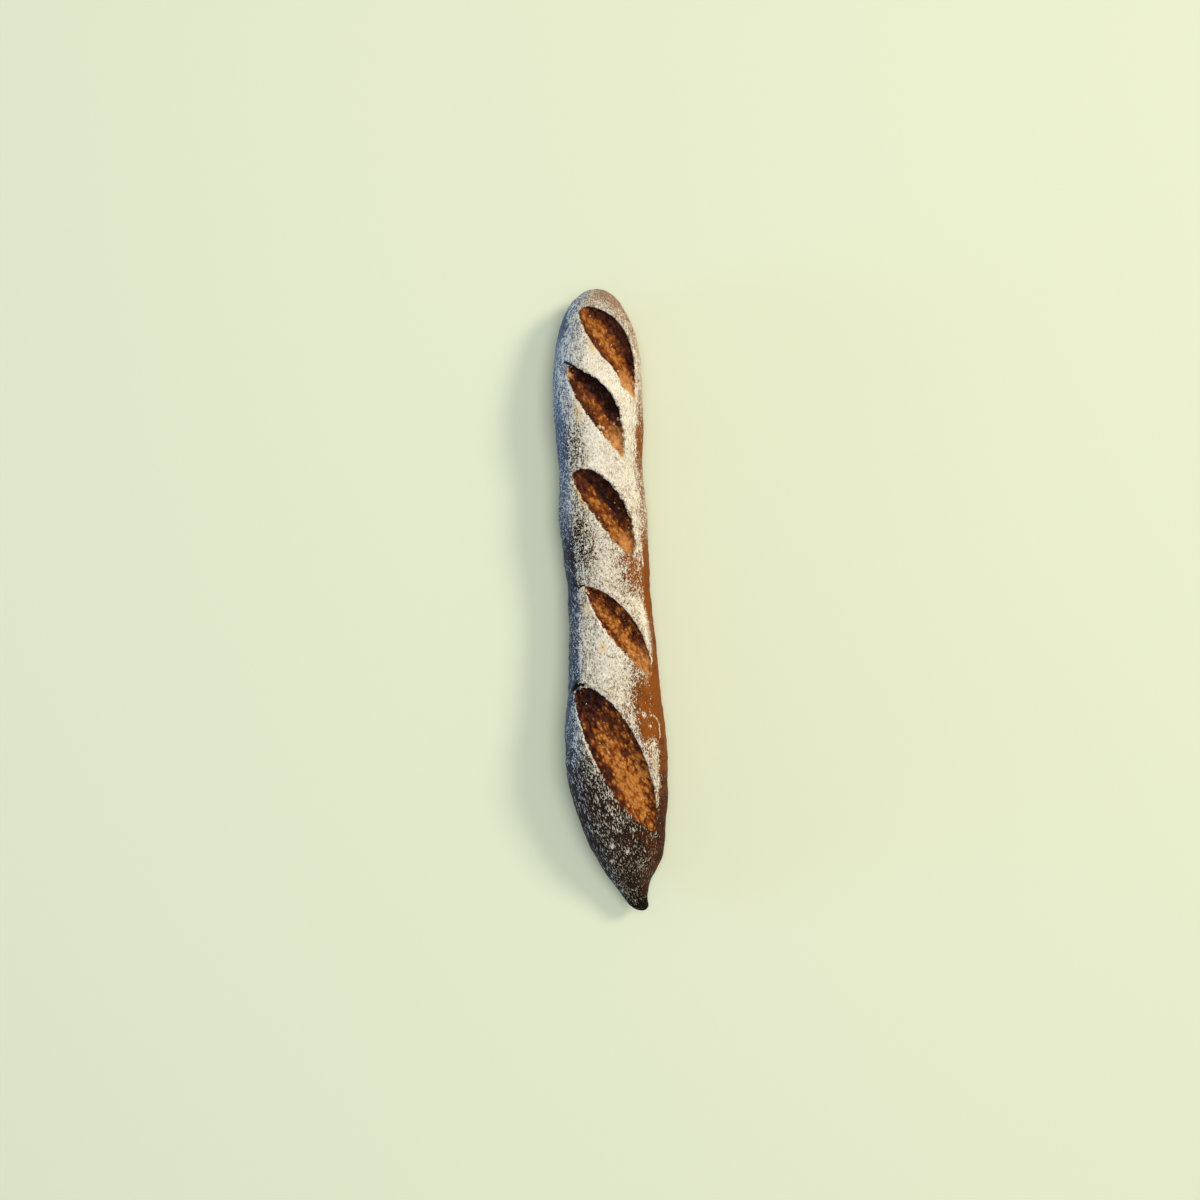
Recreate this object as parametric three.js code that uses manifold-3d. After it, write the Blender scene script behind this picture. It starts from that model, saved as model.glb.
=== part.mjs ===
// A small baguette, lying on its flat underside with the five scored openings up.
// Millimetres, +Z up, +Y towards the blunt end. The origin is at the middle of the underside.
import * as THREE from "three";
import { LoftGeometry } from "three/addons/geometries/LoftGeometry.js";
import { mergeVertices } from "three/addons/utils/BufferGeometryUtils.js";
import Module from "manifold-3d";

// The loaf as a whole. "along" is measured from the pointed tip, "across" from the middle line.
const loafLength = 330;
const bluntRounding = 59; // length of the far end that is rounded off
const tipRounding = 4; // the same at the pointed tip
const topRoundness = 2.15; // 2 is an ellipse, more is squarer
const undersideRoundness = 2.6;
const crownToHalfWidth = 0.92; // height above the widest level, for each mm of half width
const bellyToHalfWidth = 0.8; // depth below it

// Half width of the loaf at stations along it, before the ends are rounded off
const halfWidths = [
  [0, 5.2], [6, 6], [15, 9.8], [30, 17.8], [50, 23], [72, 26.2], [95, 26.6], [120, 24.1],
  [145, 22.8], [170, 21.7], [190, 22.5], [210, 23.3], [235, 21.9], [262, 23.6], [285, 23.7], [330, 26.8],
];
// How far the middle line wanders to the side: the pointed tip hooks over to +X
const middleLine = [
  [0, 11.4], [8, 8.3], [18, 6.4], [30, 5.8], [50, 3.3], [75, 1.3], [105, 1.1], [150, 1.3],
  [205, -0.6], [240, -1.1], [270, -1.1], [330, -0.5],
];
// Height of the widest level above the table
const widestLevels = [[0, 11.5], [40, 15.6], [80, 19.4], [170, 15.9], [270, 17.6], [330, 15.5]];

// The scored openings, from the blunt end down: each is a leaf about a slanting chord.
// The dough tore open to the right of the chord, under a lifted lip, more than to its left.
// rightLeaf and leftLeaf say how blunt that side is at its start and at its end.
const openings = [
  { start: [-6.3, 319], end: [18.6, 267.5], right: 12.1, left: 6.3, depth: 6.4, rightLeaf: [0.86, 1.3], leftLeaf: [0.4, 1.3] },
  { start: [-15.6, 287.7], end: [10.7, 238.4], right: 10.9, left: 5.3, depth: 6.4, rightLeaf: [1.1, 1.2], leftLeaf: [0.56, 1.1] },
  { start: [-15.7, 232.4], end: [13.5, 187.8], right: 12.3, left: 4.2, depth: 6.2, rightLeaf: [0.52, 0.74], leftLeaf: [0.47, 0.6] },
  { start: [-12, 172.2], end: [20.6, 124.2], right: 10.3, left: 4.3, depth: 5.6, rightLeaf: [0.68, 0.78], leftLeaf: [1, 1.25] },
  { start: [-19.2, 119.4], end: [18.8, 44.7], right: 15.5, left: 8.7, depth: 7.4, rightLeaf: [0.46, 0.69], leftLeaf: [0.8, 0.74] },
];
const rightLip = { height: 1.5, width: 4.5 }; // the torn crust stands up beside an opening
const leftLip = { height: 0.7, width: 3 };
const undercut = 1.1; // how far an opening reaches under its right lip
const crag = 0.45; // unevenness of the torn floor
const narrowest = 0.35; // half width and depth left at an opening's very ends

// How finely the surfaces are divided
const loafRings = 104;
const loafColumns = 42;
const openingRings = 22;

// A smooth curve through [position, value] stations
function smooth(stations, position) {
  const last = stations.length - 2;
  let i = stations.findIndex((station) => station[0] > position) - 1;
  if (i < 0) i = position < stations[0][0] ? 0 : last;
  const slope = (k) => {
    const before = stations[Math.max(k - 1, 0)];
    const after = stations[Math.min(k + 1, last + 1)];
    return (after[1] - before[1]) / (after[0] - before[0]);
  };
  const [from, to] = [stations[i], stations[i + 1]];
  const step = to[0] - from[0];
  const t = (position - from[0]) / step;
  const rise = t * t * (3 - 2 * t);
  return (
    from[1] + (to[1] - from[1]) * rise +
    step * (slope(i) * t * (1 - t) ** 2 - slope(i + 1) * t * t * (1 - t))
  );
}

// A quarter of an ellipse over the last stretch before an end
function roundedOff(distanceFromEnd, stretch) {
  const inside = Math.min(Math.max(1 - distanceFromEnd / stretch, 0), 1);
  return Math.sqrt(1 - inside * inside);
}

function crossSection(along) {
  const ends = roundedOff(along, tipRounding) * roundedOff(loafLength - along, bluntRounding);
  const halfWidth = smooth(halfWidths, along) * ends;
  return {
    middle: smooth(middleLine, along),
    level: smooth(widestLevels, along),
    halfWidth,
    crown: halfWidth * crownToHalfWidth,
    belly: halfWidth * bellyToHalfWidth,
  };
}

// The smooth top of the loaf, without lips, and its outward normal
function topPoint(across, along) {
  const section = crossSection(along);
  const out = Math.min(Math.abs(across - section.middle) / section.halfWidth, 0.985);
  const height = (1 - out ** topRoundness) ** (1 / topRoundness);
  return new THREE.Vector3(across, along, section.level + section.crown * height);
}

function topNormal(across, along) {
  const reach = 0.4;
  const sideways = topPoint(across + reach, along).sub(topPoint(across - reach, along));
  const lengthways = topPoint(across, along + reach).sub(topPoint(across, along - reach));
  return sideways.cross(lengthways).normalize();
}

// Each opening's own directions: along its chord, and to the right of it as seen from above
function placeOpening(opening) {
  const start = new THREE.Vector2(...opening.start);
  const chord = new THREE.Vector2(...opening.end).sub(start);
  const length = chord.length();
  const down = chord.clone().normalize();
  const right = new THREE.Vector2(-down.y, down.x);
  return { ...opening, from: start, length, down, rightward: right };
}

// Rises from 0 at the start to 1 and falls back to 0 at the end
function leafShape(share, [startPower, endPower]) {
  if (share <= 0 || share >= 1) return 0;
  const peak = startPower / (startPower + endPower);
  const curve = (s) => s ** startPower * (1 - s) ** endPower;
  return curve(share) / curve(peak);
}

function edgesAt(opening, share) {
  return {
    right: Math.max(opening.right * leafShape(share, opening.rightLeaf), narrowest),
    left: Math.max(opening.left * leafShape(share, opening.leftLeaf), narrowest),
  };
}

// How far the crust stands up at a place on the top, beside the openings
function lipHeight(across, along) {
  let height = 0;
  for (const opening of placedOpenings) {
    const reach = new THREE.Vector2(across, along).sub(opening.from);
    const share = reach.dot(opening.down) / opening.length;
    if (share <= 0 || share >= 1) continue;
    const sideways = reach.dot(opening.rightward);
    const edges = edgesAt(opening, share);
    const fade = Math.sin(Math.PI * share);
    const onRight = Math.exp(-(((sideways - edges.right) / rightLip.width) ** 2));
    const onLeft = Math.exp(-(((sideways + edges.left) / leftLip.width) ** 2));
    height += fade * (rightLip.height * onRight + leftLip.height * onLeft);
  }
  return height;
}

// A loft whose two ends run in to the middle of their rings
function closedLoft(rings) {
  const middleOf = (ring) => {
    const sum = ring.reduce((total, point) => total.add(point), new THREE.Vector3());
    return ring.map(() => sum.clone().divideScalar(ring.length));
  };
  return new LoftGeometry([middleOf(rings[0]), ...rings, middleOf(rings[rings.length - 1])]);
}

// The whole crust before it is cut: rings from the tip to the blunt end
function crustGeometry() {
  const rings = [];
  for (let i = 0; i <= loafRings; i++) {
    // rings stand closer together towards both ends
    const share = (1 - Math.cos((Math.PI * i) / loafRings)) / 2;
    const along = 0.1 + (loafLength - 0.2) * (0.55 * share + 0.45 * (i / loafRings));
    const section = crossSection(along);
    const ring = [];
    for (let j = 0; j < loafColumns; j++) {
      const turn = (2 * Math.PI * j) / loafColumns;
      const [side, up] = [Math.cos(turn), Math.sin(turn)];
      const power = 2 / (up >= 0 ? topRoundness : undersideRoundness);
      const across = section.middle + section.halfWidth * Math.sign(side) * Math.abs(side) ** power;
      const height = (up >= 0 ? section.crown : section.belly) * Math.sign(up) * Math.abs(up) ** power;
      const point = new THREE.Vector3(across, along, section.level + height);
      if (up > 0.2) point.addScaledVector(topNormal(across, along), lipHeight(across, along));
      ring.push(point);
    }
    rings.push(ring.reverse());
  }
  return closedLoft(rings);
}

// What is taken out for one opening: a trough that follows the top, deepest under the right lip,
// with a low swelling along its middle
function troughGeometry(opening, random) {
  const clearAbove = 9;
  const rings = [];
  for (let i = 0; i <= openingRings; i++) {
    const share = (1 - Math.cos((Math.PI * i) / openingRings)) / 2;
    const edges = edgesAt(opening, share);
    const depth = opening.depth * Math.min(leafShape(share, [0.35, 0.6]), 1) + narrowest;
    const under = undercut * leafShape(share, [0.5, 1]);
    const uneven = () => crag * (random() - 0.5) * 2 * Math.min(edges.right / 4, 1);
    // from the left edge over the floor to the right lip
    const outline = [
      [-edges.left, clearAbove],
      [-edges.left, -0.1],
      [-0.82 * edges.left, -0.5 * depth + uneven()],
      [-0.45 * edges.left, -0.6 * depth + uneven()],
      [0.05 * edges.right, -0.62 * depth + uneven()],
      [0.36 * edges.right, -0.8 * depth + uneven()],
      [0.68 * edges.right, -depth + uneven()],
      [0.9 * edges.right, -0.78 * depth + uneven()],
      [edges.right + under, -0.3 * depth],
      [edges.right, 0],
      [edges.right, clearAbove],
    ];
    rings.push(
      outline.map(([sideways, lift]) => {
        const place = opening.from.clone()
          .addScaledVector(opening.down, share * opening.length)
          .addScaledVector(opening.rightward, sideways);
        return topPoint(place.x, place.y).addScaledVector(topNormal(place.x, place.y), lift);
      }),
    );
  }
  return closedLoft(rings);
}

// A repeatable source of random numbers from 0 to 1
function seededRandom(seed) {
  let state = seed;
  return () => {
    state = (state * 1664525 + 1013904223) % 4294967296;
    return state / 4294967296;
  };
}

const library = await Module();
library.setup();

function solidFrom(geometry) {
  const plain = new THREE.BufferGeometry()
    .setAttribute("position", geometry.getAttribute("position"))
    .setIndex(geometry.getIndex());
  const merged = mergeVertices(plain, 1e-4);
  return new library.Manifold(
    new library.Mesh({
      numProp: 3,
      vertProperties: merged.attributes.position.array,
      triVerts: new Uint32Array(merged.index.array),
    }),
  );
}

function geometryFrom(solid) {
  const mesh = solid.getMesh();
  return new THREE.BufferGeometry()
    .setAttribute("position", new THREE.BufferAttribute(mesh.vertProperties, 3))
    .setIndex(new THREE.BufferAttribute(mesh.triVerts, 1));
}

const placedOpenings = openings.map(placeOpening);
const random = seededRandom(7);
let loafSolid = solidFrom(crustGeometry());
for (const opening of placedOpenings) {
  loafSolid = loafSolid.subtract(solidFrom(troughGeometry(opening, random)));
}
// The table presses the underside flat
const table = new THREE.BoxGeometry(200, 2 * loafLength, 40).translate(0, loafLength / 2, -20);
loafSolid = loafSolid.subtract(solidFrom(table));
// No crumb hangs loose in an opening: only the largest body is kept
loafSolid = loafSolid.decompose().sort((one, other) => other.volume() - one.volume())[0];

const loafGeometry = geometryFrom(loafSolid);
loafGeometry.computeBoundingBox();
const middle = loafGeometry.boundingBox.getCenter(new THREE.Vector3());
loafGeometry.translate(-middle.x, -middle.y, 0);
loafGeometry.computeVertexNormals();

// Well-baked crust, dusted with flour
const bakedCrust = new THREE.MeshStandardMaterial({ color: 0x9a6a42, roughness: 0.8, metalness: 0 });
const loaf = new THREE.Mesh(loafGeometry, bakedCrust);
loaf.name = "loaf";

const baguette = new THREE.Group();
baguette.add(loaf);

export default baguette;
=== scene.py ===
# Small floured baguette with five scored openings, lying on its flat underside, pointed end towards -Y
import math

import bpy
import numpy as np
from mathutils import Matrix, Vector, noise


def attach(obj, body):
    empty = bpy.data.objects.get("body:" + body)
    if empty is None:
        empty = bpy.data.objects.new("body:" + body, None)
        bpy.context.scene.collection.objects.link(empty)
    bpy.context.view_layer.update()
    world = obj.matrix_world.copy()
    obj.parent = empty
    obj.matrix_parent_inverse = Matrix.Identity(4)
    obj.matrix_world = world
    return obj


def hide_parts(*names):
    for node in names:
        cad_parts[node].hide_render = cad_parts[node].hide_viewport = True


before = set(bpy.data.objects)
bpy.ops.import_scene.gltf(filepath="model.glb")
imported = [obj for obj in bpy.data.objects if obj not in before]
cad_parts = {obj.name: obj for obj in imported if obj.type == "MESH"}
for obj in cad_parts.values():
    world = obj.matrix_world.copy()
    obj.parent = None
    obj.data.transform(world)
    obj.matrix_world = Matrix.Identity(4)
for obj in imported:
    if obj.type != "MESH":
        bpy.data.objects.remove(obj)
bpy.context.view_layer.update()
bpy.ops.object.select_all(action="DESELECT")

millimetre = 0.001

# Sizes in millimetres. along is measured from the pointed tip, across from the straight middle line.
loafShape = {
    "length": 330,
    "bluntRounding": 59,  # stretch of the far end that is rounded off
    "tipRounding": 4,
    "topRoundness": 2.15,  # 2 is an ellipse, more is squarer
    "undersideRoundness": 2.6,
    "crown": 0.92,  # height above the widest level for each mm of half width
    "belly": 0.8,
    "sideShift": 1.06,  # brings the middle of the loaf's box to X 0
    "halfWidths": [
        (0, 5.2), (6, 6), (15, 9.8), (30, 17.8), (50, 23), (72, 26.2), (95, 26.6), (120, 24.1),
        (145, 22.8), (170, 21.7), (190, 22.5), (210, 23.3), (235, 21.9), (262, 23.6), (285, 23.7), (330, 26.8),
    ],
    "middleLine": [
        (0, 11.4), (8, 8.3), (18, 6.4), (30, 5.8), (50, 3.3), (75, 1.3), (105, 1.1), (150, 1.3),
        (205, -0.6), (240, -1.1), (270, -1.1), (330, -0.5),
    ],
    "widestLevels": [(0, 11.5), (40, 15.6), (80, 19.4), (170, 15.9), (270, 17.6), (330, 15.5)],
    "rightLip": {"height": 1.5, "width": 4.2},
    "leftLip": {"height": 0.7, "width": 2.8},
}

# Each opening is a leaf about a slanting chord. Its floor is darker at its start, along its left edge and beside the
# right lip (partly bake, partly painted shade under the lips), and lighter along a line left of its middle (painted
# highlight on the crumb's ridge).
openings = [
    {"start": (-6.3, 319), "end": (18.6, 267.5), "right": 12.1, "left": 6.3, "depth": 6.4,
     "rightLeaf": (0.86, 1.3), "leftLeaf": (0.4, 1.3), "floor": 0, "startBake": 0.15, "startLight": 0, "leftBakeAndShade": 0.62, "lipBakeAndShade": 0.9,
     "ridgeHighlight": 0.1, "darkSpread": 0.26, "darkFrom": 0.6, "darkDrift": 0, "darkUntil": 0.78, "tailLight": 1, "pale": 0, "ragged": 0.9, "leftRim": 0.2, "rightRim": 0.55, "coarse": 0.55,
     "leftShift": [(0, 0), (0.5, 0), (0.62, -1.1), (0.74, -0.2), (0.82, 1.3), (0.85, 1.3), (0.87, 0.2), (1, 0)]},
    {"start": (-15.6, 287.7), "end": (10.7, 238.4), "right": 10.9, "left": 5.3, "depth": 6.4,
     "rightLeaf": (1.1, 1.2), "leftLeaf": (0.56, 1.1), "floor": 0.26, "startBake": 0.3, "startLight": 1, "leftBakeAndShade": 0.68, "lipBakeAndShade": 1,
     "ridgeHighlight": 0, "darkSpread": 0.14, "darkFrom": 0.5, "darkDrift": 0.1, "darkUntil": 0.66, "tailLight": 0.85, "pale": 0, "ragged": 1.5, "leftRim": 0.35, "rightRim": -0.9, "coarse": 0.65, "leftShift": [(0, 0), (1, 0)]},
    {"start": (-15.7, 232.4), "end": (13.5, 187.8), "right": 12.3, "left": 4.2, "depth": 6.2,
     "rightLeaf": (0.52, 0.74), "leftLeaf": (0.47, 0.6), "floor": 0.12, "startBake": 0.65, "startLight": 0, "leftBakeAndShade": 0.55, "lipBakeAndShade": 0.82,
     "ridgeHighlight": 0.02, "darkSpread": 0.14, "darkFrom": 0.48, "darkDrift": 0.1, "darkUntil": 0.74, "tailLight": 0.38, "pale": 0, "ragged": 1.4, "leftRim": 0.45, "rightRim": -0.75, "coarse": 0.65, "leftShift": [(0, 0), (1, 0)]},
    {"start": (-12, 172.2), "end": (20.6, 124.2), "right": 10.3, "left": 4.3, "depth": 5.6,
     "rightLeaf": (0.68, 0.78), "leftLeaf": (1, 1.25), "floor": 0, "startBake": 0.45, "startLight": 0, "leftBakeAndShade": 0.35, "lipBakeAndShade": 0.55,
     "ridgeHighlight": 0.1, "darkSpread": 0.12, "darkFrom": 0.52, "darkDrift": 0.1, "darkUntil": 0.74, "tailLight": 0.35, "pale": 0.1, "ragged": 1, "leftRim": 0.6, "rightRim": 0.3, "coarse": 1, "leftShift": [(0, 0), (1, 0)]},
    {"start": (-19.2, 119.4), "end": (18.8, 44.7), "right": 15.5, "left": 8.7, "depth": 7.4,
     "rightLeaf": (0.46, 0.69), "leftLeaf": (0.8, 0.74), "floor": 0.03, "startBake": 1, "startLight": 0, "leftBakeAndShade": 0.82, "lipBakeAndShade": 0.38,
     "ridgeHighlight": 0, "darkSpread": 0.14, "darkFrom": 0.4, "darkDrift": 0.4, "darkUntil": 0.95, "tailLight": -0.9, "pale": 0.4, "ragged": 1, "leftRim": 1, "rightRim": 0.4, "coarse": 1.1, "leftShift": [(0, 0), (1, 0)]},
]


def smoothStep(value, low, high):
    share = np.clip((value - low) / (high - low), 0, 1)
    return share * share * (3 - 2 * share)


def curveThrough(stations, position):
    places = np.array([station[0] for station in stations], float)
    values = np.array([station[1] for station in stations], float)
    slopes = np.empty(len(places))
    slopes[1:-1] = (values[2:] - values[:-2]) / (places[2:] - places[:-2])
    slopes[0] = (values[1] - values[0]) / (places[1] - places[0])
    slopes[-1] = (values[-1] - values[-2]) / (places[-1] - places[-2])
    i = np.clip(np.searchsorted(places, position, side="right") - 1, 0, len(places) - 2)
    step = places[i + 1] - places[i]
    t = (position - places[i]) / step
    rise = t * t * (3 - 2 * t)
    bend = slopes[i] * t * (1 - t) ** 2 - slopes[i + 1] * t * t * (1 - t)
    return values[i] + (values[i + 1] - values[i]) * rise + step * bend


def roundedOff(distance, stretch):
    inside = np.clip(1 - distance / stretch, 0, 1)
    return np.sqrt(1 - inside * inside)


def crossSection(along):
    along = np.clip(along, 0, loafShape["length"])
    ends = roundedOff(along, loafShape["tipRounding"])
    ends = ends * roundedOff(loafShape["length"] - along, loafShape["bluntRounding"])
    halfWidth = curveThrough(loafShape["halfWidths"], along) * ends
    return curveThrough(loafShape["middleLine"], along), curveThrough(loafShape["widestLevels"], along), halfWidth


def topHeight(across, along):
    middle, level, halfWidth = crossSection(along)
    out = np.clip(np.abs(across - middle) / np.maximum(halfWidth, 1e-6), 0, 0.985)
    power = loafShape["topRoundness"]
    return level + loafShape["crown"] * halfWidth * (1 - out ** power) ** (1 / power)


def topNormal(across, along):
    reach = 0.4
    normal = np.stack([
        topHeight(across - reach, along) - topHeight(across + reach, along),
        topHeight(across, along - reach) - topHeight(across, along + reach),
        np.full(np.shape(across), 2 * reach),
    ], axis=-1)
    return normal / np.linalg.norm(normal, axis=-1, keepdims=True)


def leafShape(share, powers):
    share = np.clip(share, 1e-9, 1 - 1e-9)
    peak = powers[0] / (powers[0] + powers[1])
    return share ** powers[0] * (1 - share) ** powers[1] / (peak ** powers[0] * (1 - peak) ** powers[1])


def leftReach(opening, share):
    shifts = np.array(opening["leftShift"], float)
    return opening["left"] * leafShape(share, opening["leftLeaf"]) + np.interp(share, shifts[:, 0], shifts[:, 1])


def chordOf(opening):
    start = np.array(opening["start"], float)
    chord = np.array(opening["end"], float) - start
    length = np.hypot(*chord)
    down = chord / length
    return start, length, down, np.array([-down[1], down[0]])


# The torn edges wander by about half a millimetre
def raggedness(across, along):
    slow = np.sin(1.15 * across + 0.8 * along) * np.sin(0.9 * along - 0.5 * across + 1)
    quick = np.sin(2.9 * along + 1.9 * across + 2) * np.sin(2.6 * across - 1.7 * along)
    return 0.55 * slow + 0.5 * quick


# Where places on the top lie in an opening: share of its chord, distance to the right of it, and its two edges
def placeInOpening(opening, across, along):
    start, length, down, rightward = chordOf(opening)
    reach = np.stack([across - start[0], along - start[1]], axis=-1)
    share = reach @ down / length
    sideways = reach @ rightward
    right = opening["right"] * leafShape(share, opening["rightLeaf"])
    left = leftReach(opening, share)
    torn = opening["ragged"] * raggedness(across, along) * (0.5 + 0.8 * smoothStep(share, 0.5, 0.9))
    return share, sideways, right + torn * np.clip(right / 4, 0, 1), left - torn * np.clip(left / 4, 0, 1)


def lipHeight(across, along):
    height = np.zeros(np.shape(across))
    for opening in openings:
        share, sideways, right, left = placeInOpening(opening, across, along)
        fade = np.sin(np.pi * np.clip(share, 0, 1))
        onRight = np.exp(-((sideways - right) / loafShape["rightLip"]["width"]) ** 2)
        onLeft = np.exp(-((sideways + left) / loafShape["leftLip"]["width"]) ** 2)
        height += fade * (loafShape["rightLip"]["height"] * onRight + loafShape["leftLip"]["height"] * onLeft)
    return height


def readPoints(piece):
    points = np.empty(len(piece.data.vertices) * 3)
    piece.data.vertices.foreach_get("co", points)
    return points.reshape(-1, 3)


def writePoints(piece, points):
    piece.data.vertices.foreach_set("co", np.ascontiguousarray(points, float).ravel())
    piece.data.update()


# From loaf millimetres to the part's own frame in metres
def inFrame(across, along, height):
    middle = loafShape["length"] / 2
    return np.stack([across - loafShape["sideShift"], along - middle, height], axis=-1) * millimetre


def makeActive(piece):
    bpy.ops.object.select_all(action="DESELECT")
    piece.select_set(True)
    bpy.context.view_layer.objects.active = piece


def turnFacesOut(piece):
    makeActive(piece)
    bpy.ops.object.mode_set(mode="EDIT")
    bpy.ops.mesh.select_all(action="SELECT")
    bpy.ops.mesh.remove_doubles(threshold=1e-7)
    bpy.ops.mesh.normals_make_consistent(inside=False)
    bpy.ops.object.mode_set(mode="OBJECT")


def applyModifier(piece, modifier):
    makeActive(piece)
    bpy.ops.object.modifier_apply(modifier=modifier.name)


# A ball whose rings become the loaf's cross-sections, from the tip to the blunt end
def makeBody():
    bpy.ops.mesh.primitive_uv_sphere_add(segments=128, ring_count=240, radius=1)
    body = bpy.context.object
    body.name = "baguetteLoaf"
    points = readPoints(body)
    share = np.arccos(np.clip(-points[:, 2], -1, 1)) / np.pi
    along = loafShape["length"] * (0.55 * (1 - np.cos(np.pi * share)) / 2 + 0.45 * share)
    radius = np.maximum(np.hypot(points[:, 0], points[:, 1]), 1e-9)
    side = points[:, 0] / radius
    up = points[:, 1] / radius
    middle, level, halfWidth = crossSection(along)
    power = 2 / np.where(up >= 0, loafShape["topRoundness"], loafShape["undersideRoundness"])
    across = middle + halfWidth * np.sign(side) * np.abs(side) ** power
    reach = np.where(up >= 0, loafShape["crown"], loafShape["belly"]) * halfWidth
    height = level + reach * np.sign(up) * np.abs(up) ** power
    lift = np.where(up > 0.1, lipHeight(across, along) * np.clip(halfWidth / 8, 0, 1), 0)
    normal = topNormal(across, along)
    writePoints(body, inFrame(across + normal[:, 0] * lift, along + normal[:, 1] * lift, height + normal[:, 2] * lift))
    turnFacesOut(body)
    bpy.ops.object.mode_set(mode="EDIT")  # the table presses the underside flat
    bpy.ops.mesh.select_all(action="SELECT")
    bpy.ops.mesh.bisect(plane_co=(0, 0, 0), plane_no=(0, 0, 1), use_fill=True, clear_inner=True)
    bpy.ops.object.mode_set(mode="OBJECT")
    return body


cutterShape = {
    "clearAbove": 9,
    "undercut": 1.6,  # how far the opening reaches under its right lip
    "narrowest": 0.3,
    # share of the left edge (below 0) or right edge, and share of the depth, round the cutter's outline
    "outline": [(-1, None), (-1, 0.02), (-0.86, 0.34), (-0.5, 0.52), (0.05, 0.62), (0.34, 0.74),
                (0.62, 0.96), (0.86, 0.98), (1, 0.62), (1, 0.3), (1, -0.02), (1, None)],
}


def makeCutter(opening):
    bpy.ops.mesh.primitive_uv_sphere_add(segments=66, ring_count=80, radius=1)
    cutter = bpy.context.object
    points = readPoints(cutter)
    share = (1 + points[:, 2]) / 2
    outline = cutterShape["outline"]
    turn = (np.arctan2(points[:, 1], points[:, 0]) / (2 * np.pi)) % 1 * len(outline)
    right = np.maximum(opening["right"] * leafShape(share, opening["rightLeaf"]), cutterShape["narrowest"])
    left = np.maximum(leftReach(opening, share), cutterShape["narrowest"])
    depth = opening["depth"] * np.minimum(leafShape(share, (0.35, 0.6)), 1) + cutterShape["narrowest"]
    under = cutterShape["undercut"] * leafShape(share, (0.5, 1))
    sideways = np.zeros(len(points))
    lift = np.zeros(len(points))
    for k, (edge, deep) in enumerate(outline):
        weight = np.maximum(0, 1 - np.abs((turn - k + len(outline) / 2) % len(outline) - len(outline) / 2))
        reachesUnder = 0.3 if deep is None else {0.98: 0.5, 0.62: 1, 0.3: 1}.get(deep, 0) * (edge > 0.8)
        if deep is None:
            reachesUnder = 0
        sideways += weight * (edge * np.where(edge < 0, left, right) + reachesUnder * under)
        lift += weight * (cutterShape["clearAbove"] if deep is None else -deep * depth)
    pole = np.hypot(points[:, 0], points[:, 1]) < 1e-5
    sideways[pole] = 0
    lift[pole] = 0.4 * cutterShape["clearAbove"]
    start, length, down, rightward = chordOf(opening)
    place = start + np.outer(share * length, down) + np.outer(sideways, rightward)
    torn = opening["ragged"] * raggedness(place[:, 0], place[:, 1]) * (0.5 + 0.8 * smoothStep(share, 0.5, 0.9))
    edge = np.where(sideways > 0, right, left)
    torn = torn * np.clip(edge / 4, 0, 1) * np.clip(np.abs(sideways) / np.maximum(edge, 0.1), 0, 1)
    place = place + np.outer(torn, rightward)
    normal = topNormal(place[:, 0], place[:, 1])
    height = topHeight(place[:, 0], place[:, 1])
    writePoints(cutter, inFrame(place[:, 0] + normal[:, 0] * lift, place[:, 1] + normal[:, 1] * lift,
                                height + normal[:, 2] * lift))
    turnFacesOut(cutter)
    return cutter


loaf = makeBody()
for opening in openings:
    cutter = makeCutter(opening)
    cut = loaf.modifiers.new("openingCut", "BOOLEAN")
    cut.operation = "DIFFERENCE"
    cut.solver = "EXACT"
    cut.object = cutter
    applyModifier(loaf, cut)
    bpy.data.objects.remove(cutter)
print("openings cut,", len(loaf.data.polygons), "faces")

crustMesh = {"voxel": 0.98, "smoothing": 2}
voxels = loaf.modifiers.new("evenFaces", "REMESH")
voxels.mode = "VOXEL"
voxels.voxel_size = crustMesh["voxel"] * millimetre
applyModifier(loaf, voxels)
soften = loaf.modifiers.new("soften", "SMOOTH")
soften.factor = 0.5
soften.iterations = crustMesh["smoothing"]
applyModifier(loaf, soften)
print("loaf remeshed,", len(loaf.data.polygons), "faces")


# Where the loaf's points lie, in loaf millimetres, and how far they are above the uncut top
def placesOnLoaf():
    points = readPoints(loaf) / millimetre
    across = points[:, 0] + loafShape["sideShift"]
    along = points[:, 1] + loafShape["length"] / 2
    return across, along, points[:, 2], (points[:, 2] - topHeight(across, along)) * topNormal(across, along)[:, 2]


# Small tears where the crust gave way beside the openings, and a shallow crease; they are shallow grooves painted
# near-black as shade
tears = [
    {"what": "second opening's start", "line": [(-18, 290), (-16.2, 289), (-13.6, 287)], "wide": 0.65, "deep": 1.2},
    {"what": "fourth opening's start", "line": [(-17.6, 174.6), (-15.4, 172.6), (-13.2, 173.6), (-9.8, 171.8)], "wide": 0.7, "deep": 1.15},
    {"what": "fifth opening's start", "line": [(-20.4, 119.6), (-18.6, 122.4), (-15.4, 122)], "wide": 1, "deep": 1.8},
    {"what": "crease under third", "line": [(-4, 197.4), (1.5, 197.8), (6.5, 194.5)], "wide": 0.6, "deep": 0.75},
]


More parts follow.
